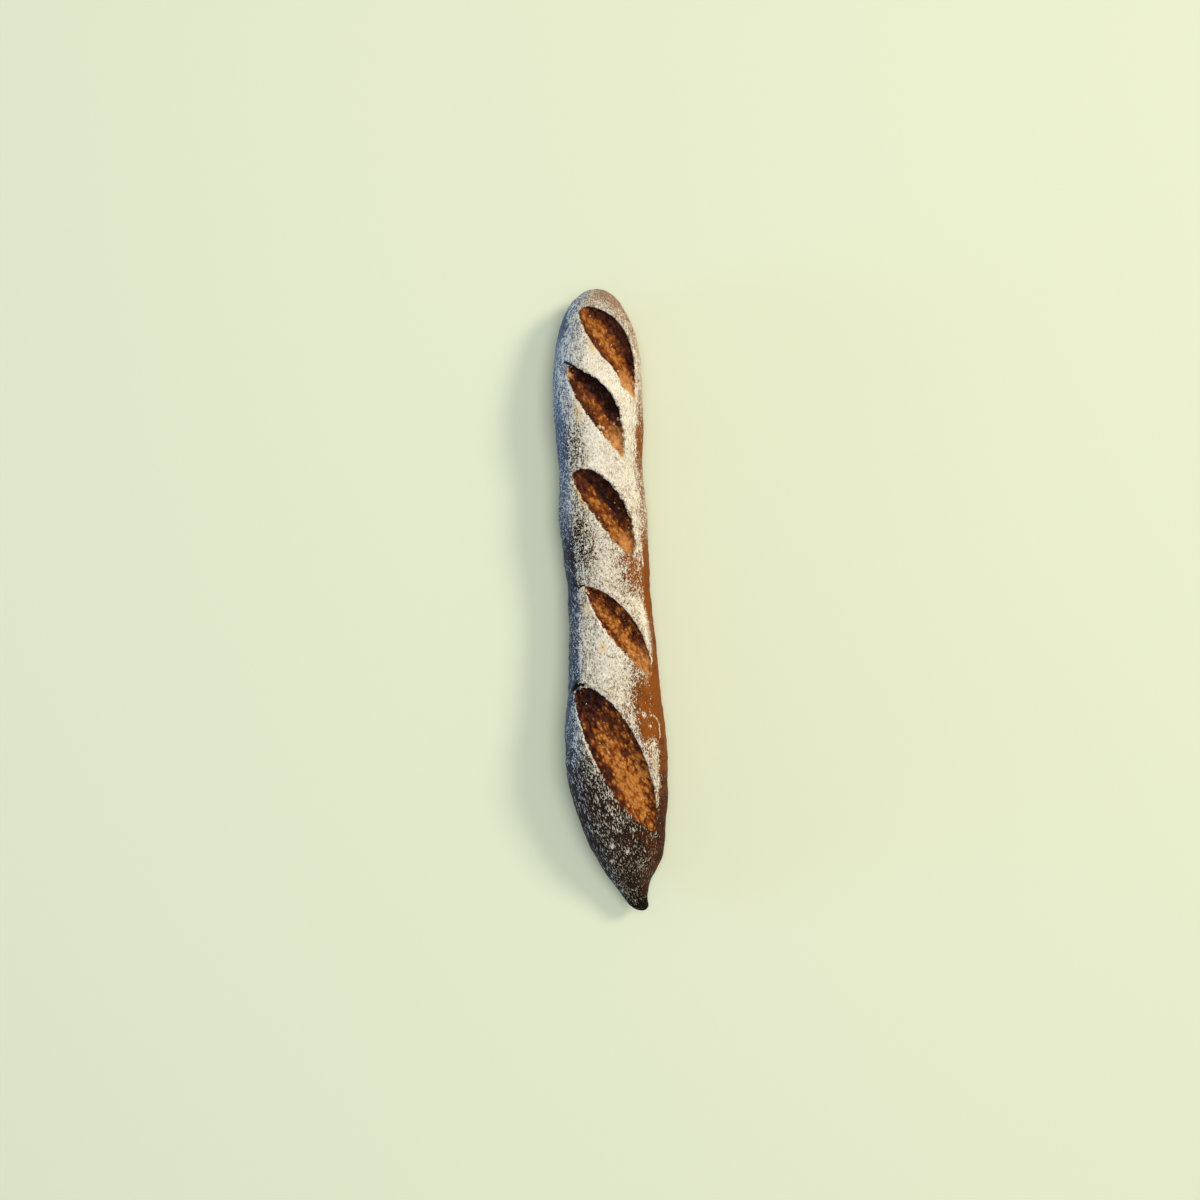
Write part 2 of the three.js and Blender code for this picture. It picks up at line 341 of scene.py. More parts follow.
# Distance from a line through the given places, how far along it the nearest place is, 0 to 1, and on which side
def fromLine(line, across, along):
    nearest = np.full(len(across), 1e6)
    share = np.zeros(len(across))
    side = np.zeros(len(across))
    for k in range(len(line) - 1):
        start = np.array(line[k][:2], float)
        step = np.array(line[k + 1][:2], float) - start
        t = np.clip(((across - start[0]) * step[0] + (along - start[1]) * step[1]) / (step @ step), 0, 1)
        distance = np.hypot(across - start[0] - t * step[0], along - start[1] - t * step[1])
        onSide = np.sign(step[0] * (along - start[1]) - step[1] * (across - start[0]))
        share = np.where(distance < nearest, (k + t) / (len(line) - 1), share)
        side = np.where(distance < nearest, onSide, side)
        nearest = np.minimum(nearest, distance)
    return nearest, share, side


def tearDepth(across, along):
    depth = np.zeros(len(across))
    for tear in tears:
        distance = fromLine(tear["line"], across, along)[0]
        depth = np.maximum(depth, tear["deep"] * np.exp(-(distance / tear["wide"]) ** 2))
    return depth


# How far inside an opening each point is (mm, below 0 outside), how dark its floor is from bake and painted shade, and
# its place on the crumb
def fieldsOfOpenings(across, along, height, lift):
    level = crossSection(along)[1]
    count = len(across)
    fields = {"depth": np.full(count, -20.0), "bakeAndShade": np.zeros(count), "tail": np.zeros(count), "rim": np.zeros(count),
              "coarse": np.ones(count)}
    crumbPlace = np.zeros((count, 3))
    for number, opening in enumerate(openings):
        share, sideways, right, left = placeInOpening(opening, across, along)
        within = (share > 0) & (share < 1)
        inside = np.where(within & (height > level + 3), np.minimum(right - sideways, sideways + left), -20)
        underLip = within & (inside > -3.5) & (lift < -0.5) & (lift > -9) & (sideways > 0) & (height > level + 3)
        inside = np.where(underLip, np.maximum(inside, np.minimum(-lift - 0.6, 3)), inside)
        nearer = inside > fields["depth"]
        widthShare = (sideways + left) / np.maximum(left + right, 0.5)
        lipEnds = smoothStep(share, opening["darkUntil"] - 0.12, opening["darkUntil"] + 0.12)
        lipFrom = opening["darkFrom"] + opening["darkDrift"] * share
        spread = opening["darkSpread"]
        # darker beside the right lip: partly bake, partly painted shade under the lip
        byLip = opening["lipBakeAndShade"] * smoothStep(widthShare, lipFrom - spread, lipFrom + spread) * (1 - 0.95 * lipEnds)
        atStart = opening["startBake"] * (1 - smoothStep(share, 0.06, 0.4))
        # darker along the left edge: partly bake, partly painted shade under the left lip
        byLeft = opening["leftBakeAndShade"] * (1 - smoothStep(widthShare, 0.04, 0.28)) * (1 - smoothStep(share, 0.55, 0.85))
        bakeAndShade = np.maximum(np.maximum(byLip, atStart), byLeft) + opening["floor"] * (1 - smoothStep(share, 0.5, 0.8))
        # lighter along a line left of the middle: painted highlight on the crumb's ridge
        bakeAndShade = bakeAndShade - opening["ridgeHighlight"] * np.exp(-((widthShare - 0.3) / 0.13) ** 2) * (1 - smoothStep(share, 0.5, 0.8))
        bakeAndShade = bakeAndShade - opening["pale"] * np.exp(-((share - 0.7) / 0.2) ** 2) * smoothStep(widthShare, 0.1, 0.35)
        tail = opening["tailLight"] * smoothStep(share, 0.62, 0.95)
        start = opening["startLight"] * (1 - smoothStep(share, 0.06, 0.15)) * (1 - smoothStep(widthShare, 0.35, 0.65))
        tail = tail + start
        bakeAndShade = (bakeAndShade - 0.2 * tail) * (1 - start)
        fields["depth"] = np.where(nearer, inside, fields["depth"])
        fields["bakeAndShade"] = np.where(nearer, bakeAndShade, fields["bakeAndShade"])
        fields["tail"] = np.where(nearer, tail, fields["tail"])
        fields["coarse"] = np.where(nearer, opening["coarse"], fields["coarse"])
        onLeft = sideways < (right - left) / 2
        rim = np.where(onLeft, opening["leftRim"] * (1 - smoothStep(share, 0.4, 0.65)), opening["rightRim"])
        rim = rim * smoothStep(share, 0.02, 0.1) * (1 - smoothStep(share, 0.92, 0.99)) * (inside > -5)
        fields["rim"] = np.where(nearer, rim, fields["rim"])
        onCrumb = np.stack([sideways, share * chordOf(opening)[1], lift + 40 * number], axis=-1)
        crumbPlace = np.where(nearer[:, None], onCrumb, crumbPlace)
    return fields, crumbPlace


# The openings and tears get faces half the size, for their crumb
def refineOpenings():
    across, along, height, lift = placesOnLoaf()
    fields, crumbPlace = fieldsOfOpenings(across, along, height, lift)
    wanted = (fields["depth"] > -1) | ((tearDepth(across, along) > 0.15) & (height > 8))
    makeActive(loaf)
    bpy.context.tool_settings.mesh_select_mode = (False, False, True)
    bpy.ops.object.mode_set(mode="EDIT")
    bpy.ops.mesh.select_all(action="DESELECT")
    bpy.ops.object.mode_set(mode="OBJECT")
    corners = np.empty(len(loaf.data.loops), np.int32)
    loaf.data.loops.foreach_get("vertex_index", corners)
    loaf.data.polygons.foreach_set("select", wanted[corners].reshape(-1, 4).all(axis=1))
    bpy.ops.object.mode_set(mode="EDIT")
    bpy.ops.mesh.subdivide(number_cuts=1, smoothness=0)
    bpy.ops.object.mode_set(mode="OBJECT")


refineOpenings()
across, along, height, lift = placesOnLoaf()
middle, level, halfWidth = crossSection(along)
sideShare = (across - middle) / np.maximum(halfWidth, 1)
fields, crumbPlace = fieldsOfOpenings(across, along, height, lift)
openingDepth = fields["depth"]
torn = tearDepth(across, along) * (height > level)
onTop = smoothStep(height - level, -6, 2)  # 1 on the upper half, 0 on the underside
underside = 1 - smoothStep(height, 0.4, 3)
print("openings refined,", len(loaf.data.polygons), "faces")

# Flour lies in four lanes along the loaf: grains that cover, and a thin film that only dulls the crust.
# Each lane gives its amount at some places along, and lanes sets where each lane runs, as shares of the half width.
lanes = [("edge", -0.97), ("left", -0.62), ("middle", -0.1), ("right", 0.62), ("flank", 0.9)]
grainLanes = {
    "edge": [(0, -0.2), (60, -0.2), (85, -0.04), (100, 0.1), (112, 0.02), (150, 0.1), (180, -0.05), (205, 0.18), (225, 0.16), (245, 0.06), (280, 0.14), (330, 0.22)],
    "left": [(0, -0.1), (25, -0.14), (45, -0.08), (75, 0.04), (100, 0.4), (135, 0.68), (165, 0.58), (200, 0.48), (250, 0.54), (300, 0.52), (330, 0.44)],
    "middle": [(0, -0.1), (14, -0.34), (28, -0.12), (45, -0.13), (65, -0.06), (90, 0.42), (130, 1.05), (200, 1), (260, 1.5), (285, 1.5), (310, 0.9), (330, 0.3)],
    "right": [(0, -0.16), (14, -0.3), (26, -0.1), (50, -0.15), (90, 0.3), (130, 0.84), (200, 0.96), (260, 1.4), (290, 1.35), (305, 0.75), (318, 0.15), (330, -0.05)],
    "flank": [(0, -0.1), (20, -0.25), (40, -0.42), (60, -0.3), (130, -0.5), (165, -0.4), (188, -0.1), (210, 0.45), (228, 0.25), (245, -0.1),
              (262, 0.2), (285, 0.75), (305, 0.3), (330, 0.05)],
}
filmLanes = {
    "edge": [(0, 0), (50, 0.02), (75, 0.08), (98, 0.32), (160, 0.24), (180, 0.26), (205, 0.48), (240, 0.56), (280, 0.8), (305, 0.9), (330, 0.7)],
    "left": [(0, 0), (50, 0.02), (78, 0.04), (90, 0.26), (110, 0.42), (160, 0.44), (200, 0.36), (250, 0.46), (290, 0.84), (330, 0.8)],
    "middle": [(0, 0), (50, 0.02), (80, 0.06), (120, 0.5), (200, 0.5), (260, 0.7), (310, 0.7), (330, 0.95)],
    "right": [(0, 0), (60, 0), (110, 0.1), (160, 0.3), (220, 0.4), (260, 0.6), (310, 0.6), (330, 0.7)],
    "flank": [(0, 0), (130, -0.05), (200, 0), (260, 0.05), (290, 0.4), (330, 0.5)],
}
flourPatches = [
    {"what": "blunt cap", "across": 5, "along": 330, "wide": 26, "long": 9, "turn": 0, "grain": -0.1, "film": 0},
    {"what": "left shoulder", "across": -18, "along": 309, "wide": 4, "long": 8, "turn": -20, "grain": -0.4, "film": -0.3},
    {"what": "left of second", "across": -14, "along": 249, "wide": 7, "long": 12, "turn": 0, "grain": -0.26, "film": -0.45},
    {"what": "bluish left of third", "across": -18, "along": 212, "wide": 3, "long": 14, "turn": 0, "grain": 0.1, "film": 0.5},
    {"what": "left of third", "across": -14, "along": 203, "wide": 9, "long": 20, "turn": 0, "grain": -0.24, "film": -0.5},
    {"what": "above fourth", "across": -8, "along": 190, "wide": 10, "long": 7, "turn": -30, "grain": -0.24, "film": -0.38},
    {"what": "right of third", "across": 14, "along": 179, "wide": 7.5, "long": 17, "turn": 0, "grain": -0.8, "film": -0.8},
    {"what": "tail of fourth", "across": 15, "along": 124, "wide": 6, "long": 9, "turn": 20, "grain": -0.5, "film": -0.2},
    {"what": "below fourth", "across": 20, "along": 108, "wide": 9, "long": 16, "turn": 12, "grain": -0.62, "film": -0.8},
    {"what": "upper part of that", "across": 16, "along": 116, "wide": 4, "long": 5, "turn": 10, "grain": -0.35, "film": -0.3},
    {"what": "beside fifth", "across": 17, "along": 93, "wide": 5, "long": 12, "turn": 8, "grain": -0.32, "film": -0.8},
    {"what": "lower right", "across": 22, "along": 50, "wide": 7, "long": 26, "turn": -16, "grain": -0.1, "film": -0.3},
    {"what": "white spot", "across": 16, "along": 105.6, "wide": 1, "long": 1.6, "turn": 25, "grain": 1.5, "film": 0.6},
    {"what": "white spot", "across": 18.9, "along": 99.8, "wide": 0.9, "long": 1, "turn": 0, "grain": 1.4, "film": 0.5},
    {"what": "white spot", "across": 16.1, "along": 90.9, "wide": 1, "long": 1, "turn": 0, "grain": 1.3, "film": 0.5},
    {"what": "white spot", "across": 20.8, "along": 90.3, "wide": 0.9, "long": 1.1, "turn": 0, "grain": 1.3, "film": 0.5},
    {"what": "white spot", "across": -3, "along": 38, "wide": 1, "long": 1.4, "turn": 0, "grain": 1.2, "film": 0.4},
    {"what": "white spot", "across": 5, "along": 35, "wide": 0.9, "long": 1.6, "turn": 0, "grain": 1.2, "film": 0.4},
]
# Lines of flour: across, along and half the width at each place, in mm
flourLines = [
    {"what": "fan beside fifth", "line": [(19.6, 92, 2.2), (20.6, 85, 3), (20.8, 77, 2.4), (21.2, 68, 1.5), (21.4, 58, 0.8)],
     "grain": 0.78, "film": 0.3},
    {"what": "right rim of fifth", "line": [(9.5, 106, 1), (12.5, 96, 0.9), (15.6, 86, 1.1), (18.4, 77, 1.4), (20.4, 67, 1.1)],
     "grain": 0.5, "film": 0.3},
    {"what": "lower fan", "line": [(-12, 80, 1.5), (-6.5, 66, 2.4), (2, 50, 2.4)], "grain": 0.2, "film": 0},
    {"what": "streak beside third", "line": [(15.2, 214, 1.2), (15.8, 200, 1.4), (17, 186, 0.9)], "grain": 0.4, "film": 0.3},
    {"what": "rim of fourth's right", "line": [(11, 168, 0.8), (17.3, 159, 1.9), (20, 149, 2), (21.1, 140, 1.5), (21.3, 132.5, 0.8)],
     "grain": 0.85, "film": 0.4},
]

# Thin lines of flour, drawn sharp by the material
thinLines = [
    {"what": "curved trace", "line": [(19, 105.3), (21.2, 105.1), (23, 103), (23.9, 99.4), (24.1, 95), (23.5, 90.5)],
     "halfWidth": 0.5, "grain": 1.2},
    {"what": "streak on right flank", "line": [(18.2, 195), (18.6, 188), (18.8, 179)], "halfWidth": 0.55, "grain": 0.8},
]


def patchAt(patch):
    turn = math.radians(patch["turn"])
    x = across - patch["across"]
    y = along - patch["along"]
    wide = (x * math.cos(turn) + y * math.sin(turn)) / patch["wide"]
    long = (y * math.cos(turn) - x * math.sin(turn)) / patch["long"]
    return np.exp(-(wide ** 2 + long ** 2))


def lineAt(stroke):
    distance, share, side = fromLine(stroke["line"], across, along)
    widths = [place[2] for place in stroke["line"]]
    width = np.interp(share, np.linspace(0, 1, len(widths)), widths)
    return np.exp(-(distance / width) ** 2)


def flourOf(laneAmounts, kind):
    edgeShift = 0.13 * (1 - smoothStep(along, 255, 280)) * smoothStep(along, 80, 125)  # the dull edge is widest there
    amount = curveThrough(laneAmounts["edge"], along)
    for k in range(1, len(lanes)):
        here = curveThrough(laneAmounts[lanes[k][0]], along)
        low = lanes[k - 1][1]
        high = lanes[k][1]
        if k == 1:
            low = -0.92 + edgeShift
            high = -0.84 + edgeShift
        if k == 4:
            low = 0.76
        amount = amount + (here - amount) * smoothStep(sideShare, low, high)
    for patch in flourPatches:
        amount = amount + patch[kind] * patchAt(patch)
    for stroke in flourLines:
        amount = amount + stroke[kind] * lineAt(stroke)
    least = {"grain": -0.6, "film": 0}[kind]
    kept = smoothStep(along, -2, 9) * (1 - smoothStep(torn, 0.4, 0.9)) * (0.3 + 0.7 * onTop)
    amount = least + (np.clip(amount, least, 1.7) - least) * kept
    return amount * (1 - underside) + 0.2 * underside


# How far to one side of its nearest thin line each point is, in half widths, and the flour on that line
def thinLinesAt():
    lineSide = np.full(len(across), 20.0)
    lineFlour = np.zeros(len(across))
    for stroke in thinLines:
        distance, share, side = fromLine(stroke["line"], across, along)
        nearer = distance / stroke["halfWidth"] < np.abs(lineSide)
        lineSide = np.where(nearer, side * distance / stroke["halfWidth"], lineSide)
        faded = smoothStep(share, 0, 0.12) * (1 - smoothStep(share, 0.8, 1)) * (distance < 5) * (height > level)
        lineFlour = np.where(nearer, stroke["grain"] * faded, lineFlour)
    return lineSide, lineFlour


flourGrains = flourOf(grainLanes, "grain")
lineSide, lineFlour = thinLinesAt()
flourFilm = flourOf(filmLanes, "film")
streaky = 0.9 * smoothStep(sideShare, 0.55, 0.8) + (0.62 + 0.55 * smoothStep(along, 235, 270)) * smoothStep(-sideShare, 0.15, 0.6)
streaky = streaky * smoothStep(flourGrains, 0.08, 0.4)
streaky = np.maximum(streaky, 0.8 * (1 - smoothStep(along, 60, 105)) * (1 - smoothStep(sideShare, 0.4, 0.7)))
# Painted cool shade: film and flour on the left flank are tinted bluish, as a cool light from that side colours them,
# less so low on the flank
paintedCoolShade = 1 - smoothStep(sideShare, -0.82, -0.58 + 0.36 * smoothStep(along, 235, 285))
paintedCoolShade = paintedCoolShade * (0.3 + 0.7 * smoothStep(height - level, -8, 1))

# How dark the crust under the flour is, from its bake and from painted light and shade: darker towards the left flank
# as painted shade, lighter towards the right as painted light
crustBakeAndShade = 0.45 + 0.62 * smoothStep(-sideShare, 0, 0.6) - 0.42 * smoothStep(sideShare, 0.3, 0.75)
crustBakeAndShade = crustBakeAndShade + 0.7 * (1 - smoothStep(along, 40, 110)) * smoothStep(sideShare, 0.4, 0.85)
crustBakeAndShade = crustBakeAndShade + 0.6 * (1 - smoothStep(along + 0.4 * across, 30, 115)) * (1 - smoothStep(sideShare, 0.3, 0.9))
crustBakeAndShade = np.clip(crustBakeAndShade * (0.6 + 0.4 * onTop) + 0.1 * (1 - onTop), 0, 1.15)
crustBakeAndShade = np.maximum(crustBakeAndShade, -fields["rim"] * smoothStep(openingDepth, -2.5, -0.8))  # scorched rims
# near-black at the pointed tip: painted shadow; in the tears and the crease: painted shade
crustBakeAndShade = np.maximum(np.maximum(crustBakeAndShade, 1.5 - 1.5 * smoothStep(along, 5, 22)), 1.4 * smoothStep(torn, 0.4, 1.1))

butterStrokes = [
    {"across": -3.2, "along": 296.4, "wide": 1.3, "long": 4.5, "turn": 10},
    {"across": -11.8, "along": 263, "wide": 1.5, "long": 5.5, "turn": 12},
    {"across": -13.6, "along": 222, "wide": 1, "long": 4, "turn": 25},
    {"across": -11.3, "along": 216, "wide": 1, "long": 4, "turn": 25},
    {"across": -11.6, "along": 204, "wide": 1.3, "long": 2.5, "turn": 0},
    {"across": -18.9, "along": 205, "wide": 1.3, "long": 3.5, "turn": 0},
    {"across": -11.3, "along": 162, "wide": 1, "long": 6, "turn": 30},
    {"across": -4, "along": 141, "wide": 1.8, "long": 2.5, "turn": 0},
]
butter = np.clip(sum(patchAt(stroke) for stroke in butterStrokes), 0, 1)

# The torn crumb: lumps, granules drawn out along the opening, and finer granules on them. Sizes and rises in mm.
crumbRelief = {"lump": 7, "lumpRise": 1.3, "granule": 2.3, "granuleRise": 2, "fine": 1.35, "fineRise": 1.3, "drawnOut": 1.6}


def granuleRise(place, size):
    distances = noise.voronoi(place / size)[0]
    return 0.5 - distances[0]


def raiseCrumb():
    weight = smoothStep(openingDepth, 0.05, 1.3) * (underside < 0.5)
    rise = np.zeros(len(openingDepth))
    lump = np.zeros(len(openingDepth))
    stretched = crumbPlace / np.array([1, crumbRelief["drawnOut"], 1])
    for i in np.nonzero(weight > 0)[0]:
        place = Vector(stretched[i])
        lumps = crumbRelief["lumpRise"] * noise.noise(place / crumbRelief["lump"])
        granules = crumbRelief["granuleRise"] * granuleRise(place, crumbRelief["granule"])
        rise[i] = granules + crumbRelief["fineRise"] * granuleRise(place, crumbRelief["fine"])
        lump[i] = lumps
    normals = np.empty(len(rise) * 3)
    loaf.data.vertices.foreach_get("normal", normals)
    shift = normals.reshape(-1, 3) * ((lump + rise - 0.25) * weight - torn * (1 - weight))[:, None]
    writePoints(loaf, readPoints(loaf) + shift * millimetre)
    return rise * weight


crumbRise = raiseCrumb()
print("crumb raised")


def paint(name, values):
    attribute = loaf.data.attributes.new(name, "FLOAT", "POINT")
    attribute.data.foreach_set("value", np.asarray(values, np.float32))


paint("openingDepth", np.clip(openingDepth, -20, 20))
paint("floorBakeAndShade", fields["bakeAndShade"])
paint("floorTail", fields["tail"])
paint("crumbRise", crumbRise)
paint("flourGrains", flourGrains)
paint("flourFilm", flourFilm)
paint("crustBakeAndShade", crustBakeAndShade)
paint("butter", butter)
paint("paintedCoolShade", paintedCoolShade)
paint("streaky", streaky)
# Places in mm that follow the loaf's outline, so that streaks of flour do too
lengthwise = loaf.data.attributes.new("lengthwisePlace", "FLOAT_VECTOR", "POINT")
longer = np.interp(along, [-5, 60, 150, 335], [-3.5, 42, 123, 326.5])
finer = 1 + 0.75 * (1 - smoothStep(along, 60, 150))  # the grains are finer near the pointed end
followed = np.stack([(across - middle) * finer * 23 / np.maximum(halfWidth, 12), longer, height], axis=-1)
lengthwise.data.foreach_set("vector", followed.astype(np.float32).ravel())
paint("rim", fields["rim"])
paint("coarse", fields["coarse"])
paint("lineSide", lineSide)
paint("lineFlour", lineFlour)
print("surface painted")


def paintGroup(name, weights):
    group = loaf.vertex_groups.new(name=name)
    steps = np.round(np.clip(weights, 0, 1) * 16).astype(int)
    for step in range(1, 17):
        group.add([int(i) for i in np.nonzero(steps == step)[0]], step / 16, "REPLACE")


paintGroup("crustPlaces", smoothStep(-openingDepth, 0.2, 2) * (1 - underside))
relief = [
    {"name": "looseFolds", "kind": "CLOUDS", "size": 15, "rise": 1.6, "group": "crustPlaces"},
    {"name": "blisters", "kind": "CLOUDS", "size": 3.4, "rise": 0.8, "group": "crustPlaces"},
]
for layer in relief:
    texture = bpy.data.textures.new(layer["name"], layer["kind"])
    texture.noise_scale = layer["size"] * millimetre
    displace = loaf.modifiers.new(layer["name"], "DISPLACE")
    displace.texture = texture
    displace.texture_coords = "LOCAL"
    displace.strength = layer["rise"] * millimetre
    displace.mid_level = 0.5
    displace.vertex_group = layer["group"]
    applyModifier(loaf, displace)
loaf.vertex_groups.clear()
raised = readPoints(loaf)
raised[:, 2] = np.maximum(raised[:, 2], 0)  # nothing sinks into the table
writePoints(loaf, raised)
makeActive(loaf)
bpy.ops.object.shade_smooth()
print("relief raised")


def linear(hexColour):
    channels = [int(hexColour[i:i + 2], 16) / 255 for i in (1, 3, 5)]
    return [c / 12.92 if c <= 0.04045 else ((c + 0.055) / 1.055) ** 2.4 for c in channels] + [1]


# Adds one node, with its settings, and its inputs as values or links
def addNode(material, kind, inputs, **settings):
    node = material.node_tree.nodes.new(kind)
    for name, value in settings.items():
        setattr(node, name, value)
    for socket, value in inputs.items():
        if isinstance(value, bpy.types.NodeSocket):
            material.node_tree.links.new(value, node.inputs[socket])
        else:
            node.inputs[socket].default_value = value
    return node


# Hearth-baked wheat crust dusted with flour: matt powder over a hard, slightly glossy brown shell,
# torn open to a coarse caramelised crumb; its colour also holds painted light, shade and glints
crustLook = {
    "flourBright": "#fff6e1",
    "flourDull": "#b6ac8e",
    "filmWarm": "#b09a86",
    # the next two are painted cool shade: the bluish film and flour of the left flank
    "filmCoolShade": "#6a849f",
    "flourCoolShade": "#a9bcc6",
    "butter": "#e4c483",
    "crustLight": "#8e4c11",
    "crustMid": "#572a0e",
    "crustDark": "#27170f",
    # near-black: the darkest crust, and painted shadow and shade at the tip and in the tears
    "scorchedCrustAndShade": "#0d0705",
    "floorTail": "#f4b873",
    "floorLight": "#d28a3e",
    "floorMid": "#a1591a",
    "floorDark": "#5f2d16",
    # the next, near-black, is burnt crumb and also painted shade under the lips and in the pores
    "floorBurntAndShade": "#2d140d",
    # painted glint on the crumb's granules
    "paintedGlint": "#eebd80",
    "grainSize": 0.55,  # mm, flour grains
    "streakSize": 0.68,
    "longStreakSize": 0.9,
    "filmStreakSize": 1.6,
    "speckleSize": 0.62,  # lumps of flour
    "patchSize": 6,
    "crumbSize": 1.75,  # granules of the torn floor
}


def makeCrustMaterial():
    material = bpy.data.materials.new("flouredBreadCrust")
    material.use_nodes = True
    tree = material.node_tree
    shader = tree.nodes["Principled BSDF"]
    place = addNode(material, "ShaderNodeTexCoord", {}).outputs["Object"]
    inMillimetres = addNode(material, "ShaderNodeMapping", {"Vector": place, "Scale": (1000, 1000, 1000)}).outputs[0]
    lengthwise = addNode(material, "ShaderNodeAttribute", {}, attribute_name="lengthwisePlace").outputs["Vector"]
    alongLoaf = addNode(material, "ShaderNodeMapping", {"Vector": lengthwise, "Scale": (1, 0.38, 1)}).outputs[0]
    drawnOut = addNode(material, "ShaderNodeMapping", {"Vector": lengthwise, "Scale": (1, 0.6, 1)}).outputs[0]
    farAlong = addNode(material, "ShaderNodeMapping", {"Vector": lengthwise, "Scale": (1, 0.15, 1)}).outputs[0]
    turned = addNode(material, "ShaderNodeMapping", {"Vector": place, "Rotation": (0, 0, -0.47)}).outputs[0]
    alongOpening = addNode(material, "ShaderNodeMapping", {"Vector": turned, "Scale": (1000, 520, 1000)}).outputs[0]
    read = {}
    for name in ("openingDepth", "floorBakeAndShade", "floorTail", "flourGrains", "flourFilm", "crustBakeAndShade", "butter", "paintedCoolShade",
                 "streaky", "crumbRise", "rim", "coarse", "lineSide", "lineFlour"):
        read[name] = addNode(material, "ShaderNodeAttribute", {}, attribute_name=name).outputs["Fac"]
    noises = {}
    for name, vector, size, detail in (
        ("grain", drawnOut, crustLook["grainSize"], 2),
        ("longStreaks", farAlong, crustLook["longStreakSize"], 2),
        ("streaks", alongLoaf, crustLook["streakSize"], 2),
        ("filmStreaks", farAlong, crustLook["filmStreakSize"], 3),
        ("patches", inMillimetres, crustLook["patchSize"], 3),
        ("mottle", inMillimetres, 2.1, 2),
        ("crumb", alongOpening, 0.9, 2),
        ("poreShade", alongOpening, 1.3, 1),
    ):
        noises[name] = addNode(material, "ShaderNodeTexNoise", {"Vector": vector, "Scale": 1 / size,
                                                                "Detail": detail, "Roughness": 0.6}).outputs[0]

    # the crust itself, in tones of its bake and of the painted light and shade
    crustSum = addNode(material, "ShaderNodeMath", {0: noises["patches"], 1: 1.4, 2: -0.7}, operation="MULTIPLY_ADD").outputs[0]
    crustFine = addNode(material, "ShaderNodeMix", {0: 0.5, 2: noises["mottle"], 3: noises["streaks"]}).outputs[0]
    crustSum = addNode(material, "ShaderNodeMath", {0: crustFine, 1: 1.2, 2: crustSum}, operation="MULTIPLY_ADD").outputs[0]
    crustSum = addNode(material, "ShaderNodeMath", {0: crustSum, 1: 0.6}, operation="SUBTRACT").outputs[0]
    crustBakedAndShaded = addNode(material, "ShaderNodeMath", {0: read["crustBakeAndShade"], 1: crustSum}, operation="ADD").outputs[0]
    toMid = addNode(material, "ShaderNodeMapRange", {0: crustBakedAndShaded, 1: 0, 2: 0.5}).outputs[0]
    toDark = addNode(material, "ShaderNodeMapRange", {0: crustBakedAndShaded, 1: 0.45, 2: 0.95}).outputs[0]
    lighter = addNode(material, "ShaderNodeMix", {0: toMid, 6: linear(crustLook["crustLight"]),
                                                  7: linear(crustLook["crustMid"])}, data_type="RGBA").outputs[2]
    crust = addNode(material, "ShaderNodeMix", {0: toDark, 6: lighter, 7: linear(crustLook["crustDark"])},
                    data_type="RGBA").outputs[2]

    # near-black where darkest: scorched crust, and painted shadow at the tip and painted shade in the tears
    toScorchedAndShade = addNode(material, "ShaderNodeMapRange", {0: crustBakedAndShaded, 1: 1, 2: 1.5}).outputs[0]
    crust = addNode(material, "ShaderNodeMix", {0: toScorchedAndShade, 6: crust, 7: linear(crustLook["scorchedCrustAndShade"])},
                    data_type="RGBA").outputs[2]

    # a thin film of flour over it, streaked along the loaf
    filmSum = addNode(material, "ShaderNodeMix", {0: 0.6, 2: noises["streaks"], 3: noises["filmStreaks"]}).outputs[0]
    filmUneven = addNode(material, "ShaderNodeMapRange", {0: filmSum, 1: 0.34, 2: 0.66, 3: 0.25, 4: 1.4}).outputs[0]
    film = addNode(material, "ShaderNodeMath", {0: read["flourFilm"], 1: filmUneven}, operation="MULTIPLY",
                   use_clamp=True).outputs[0]
    # bluish on the left flank: painted cool shade
    filmTone = addNode(material, "ShaderNodeMix", {0: read["paintedCoolShade"], 6: linear(crustLook["filmWarm"]),
                                                   7: linear(crustLook["filmCoolShade"])}, data_type="RGBA").outputs[2]
    filmed = addNode(material, "ShaderNodeMix", {0: film, 6: crust, 7: filmTone}, data_type="RGBA").outputs[2]

    # grains lie where their amount and three sizes of unevenness add up
    fineSum = addNode(material, "ShaderNodeMix", {0: 0.45, 2: noises["grain"], 3: noises["streaks"]}).outputs[0]
    allSum = addNode(material, "ShaderNodeMix", {0: 0.28, 2: fineSum, 3: noises["patches"]}).outputs[0]
    uneven = addNode(material, "ShaderNodeMath", {0: allSum, 1: 5.6, 2: -2.8}, operation="MULTIPLY_ADD").outputs[0]
    speckles = addNode(material, "ShaderNodeTexVoronoi", {"Vector": drawnOut, "Scale": 1 / crustLook["speckleSize"]})
    speckle = addNode(material, "ShaderNodeSeparateColor", {0: speckles.outputs["Color"]}).outputs[0]
    uneven = addNode(material, "ShaderNodeMath", {0: speckle, 1: 1.1, 2: uneven}, operation="MULTIPLY_ADD").outputs[0]
    uneven = addNode(material, "ShaderNodeMath", {0: uneven, 1: 0.55}, operation="SUBTRACT").outputs[0]
    streakSum = addNode(material, "ShaderNodeMath", {0: noises["longStreaks"], 1: 4.6, 2: -2.3},
                        operation="MULTIPLY_ADD").outputs[0]
    uneven = addNode(material, "ShaderNodeMath", {0: streakSum, 1: read["streaky"], 2: uneven},
                     operation="MULTIPLY_ADD").outputs[0]
    flourSum = addNode(material, "ShaderNodeMath", {0: read["flourGrains"], 1: uneven}, operation="ADD").outputs[0]
    fromLine = addNode(material, "ShaderNodeMath", {0: read["lineSide"]}, operation="ABSOLUTE").outputs[0]
    onLine = addNode(material, "ShaderNodeMapRange", {0: fromLine, 1: 1.4, 2: 0.4}).outputs[0]
